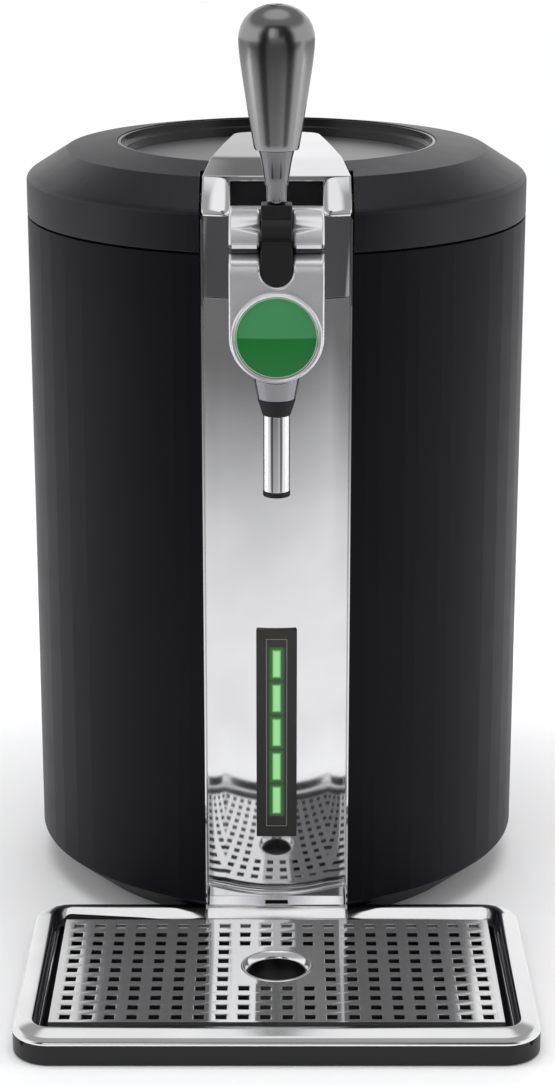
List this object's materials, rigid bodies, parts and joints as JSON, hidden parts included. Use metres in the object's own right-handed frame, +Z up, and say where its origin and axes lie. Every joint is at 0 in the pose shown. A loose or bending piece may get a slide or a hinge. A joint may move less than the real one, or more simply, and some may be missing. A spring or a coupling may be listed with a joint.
{
  "type": "keg beer dispenser",
  "caption": "Cooled counter-top drum dispenser for a five litre keg, with a hinged lid, a lever tap, a level indicator and a slide-out drip tray.",
  "frame": {"origin": "centre of the whole dispenser's footprint, on the surface that it stands on", "axes": "+X to the right as seen from the tap side, +Y from the drip tray towards the lid hinge, +Z up"},
  "size_m": [0.258, 0.4009, 0.4744],
  "materials": {
    "casing_plastic": "matte",
    "black_plastic": "satin",
    "gloss_black": "gloss",
    "grey_plastic": "satin",
    "satin_disc": "satin",
    "mirror_steel": "polished",
    "bright_chrome": "polished",
    "smoked_chrome": "gloss",
    "green_enamel": "gloss",
    "lamp_green": "gloss",
    "smoked_window": "gloss",
    "soft_rubber": "matte",
    "milky_tube": "satin",
    "bare_aluminium": "satin",
    "white_ceramic": "matte",
    "foam": "matte",
    "circuit_board": "satin",
    "zinc_steel": "satin"
  },
  "bodies": {
    "drum": {"badge_disc": "green_enamel", "badge_ring": "bright_chrome", "base_pan": "black_plastic", "beer_tube": "milky_tube", "casing_hinge_leaf": "zinc_steel", "cold_block": "bare_aluminium", "control_board": "circuit_board", "cooling_well": "bare_aluminium", "fan_frame": "black_plastic", "front_plate": "mirror_steel", "heat_sink": "bare_aluminium", "indicator_frame": "black_plastic", "indicator_lamps": "lamp_green", "indicator_window": "smoked_window", "lamp_board": "circuit_board", "lever_pivot_pin": "zinc_steel", "lid_hinge_pin": "zinc_steel", "outer_casing": "casing_plastic", "peltier_module": "white_ceramic", "plunger_spring": "zinc_steel", "power_inlet": "black_plastic", "power_supply": "circuit_board", "rear_cover": "casing_plastic", "rear_cover_screws": "zinc_steel", "rubber_feet": "soft_rubber", "slot_insert": "black_plastic", "spout_collar": "soft_rubber", "spout_neck": "bright_chrome", "spout_tip": "soft_rubber", "spout_tube": "mirror_steel", "switch_frame": "black_plastic", "tap_body": "bright_chrome", "tap_mount": "bright_chrome", "tap_mount_screws": "zinc_steel", "tap_surround": "bright_chrome", "temperature_sensor": "circuit_board", "top_deck": "grey_plastic", "tube_clip": "black_plastic", "well_insulation": "foam"},
    "lid": {"lid_shell": "casing_plastic", "lid_recess_ring": "gloss_black", "lid_disc": "satin_disc", "lid_nose": "bright_chrome", "nose_frame": "black_plastic", "lid_liner": "grey_plastic", "lid_insulation": "foam", "lid_gasket": "soft_rubber", "lid_hinge_leaf": "zinc_steel"},
    "lever": {"lever_hub": "black_plastic", "lever_stem": "bright_chrome", "lever_grip": "smoked_chrome"},
    "plunger": {"pinch_plunger": "grey_plastic"},
    "tray": {"tray_base": "black_plastic", "tray_rim": "bright_chrome"},
    "grid": {"drip_grid": "mirror_steel", "grid_skirt": "mirror_steel"},
    "fan": {"fan_impeller": "black_plastic"},
    "rocker": {"switch_rocker": "black_plastic"}
  },
  "joints": [
    {"name": "lid_hinge", "type": "hinge", "parent": "drum", "child": "lid", "pos_m": [0, 0.19595, 0.3547], "axis": [-1, 0, 0], "range_deg": [0, 95]},
    {"name": "tap_lever", "type": "hinge", "parent": "drum", "child": "lever", "pos_m": [0, -0.09555, 0.3695], "axis": [1, 0, 0], "range_deg": [0, 50]},
    {"name": "plunger_slide", "type": "slide", "parent": "drum", "child": "plunger", "axis": [0, 0, 1], "range_m": [0, 0.003], "deforming": ["plunger_spring"]},
    {"name": "tray_slide", "type": "slide", "parent": "drum", "child": "tray", "axis": [0, -1, 0], "range_m": [0, 0.05]},
    {"name": "grid_lift", "type": "slide", "parent": "tray", "child": "grid", "axis": [0, 0, 1], "range_m": [0, 0.03]},
    {"name": "fan_spin", "type": "hinge", "parent": "drum", "child": "fan", "pos_m": [0, 0.18, 0.15], "axis": [0, 1, 0], "continuous": true},
    {"name": "switch_rock", "type": "hinge", "parent": "drum", "child": "rocker", "pos_m": [0.024, 0.18595, 0.046], "axis": [-1, 0, 0], "range_deg": [0, 10]}
  ],
  "couplings": [
    {"joint": "plunger_slide", "follows": "tap_lever", "m_per_rad": 0.0034}
  ]
}
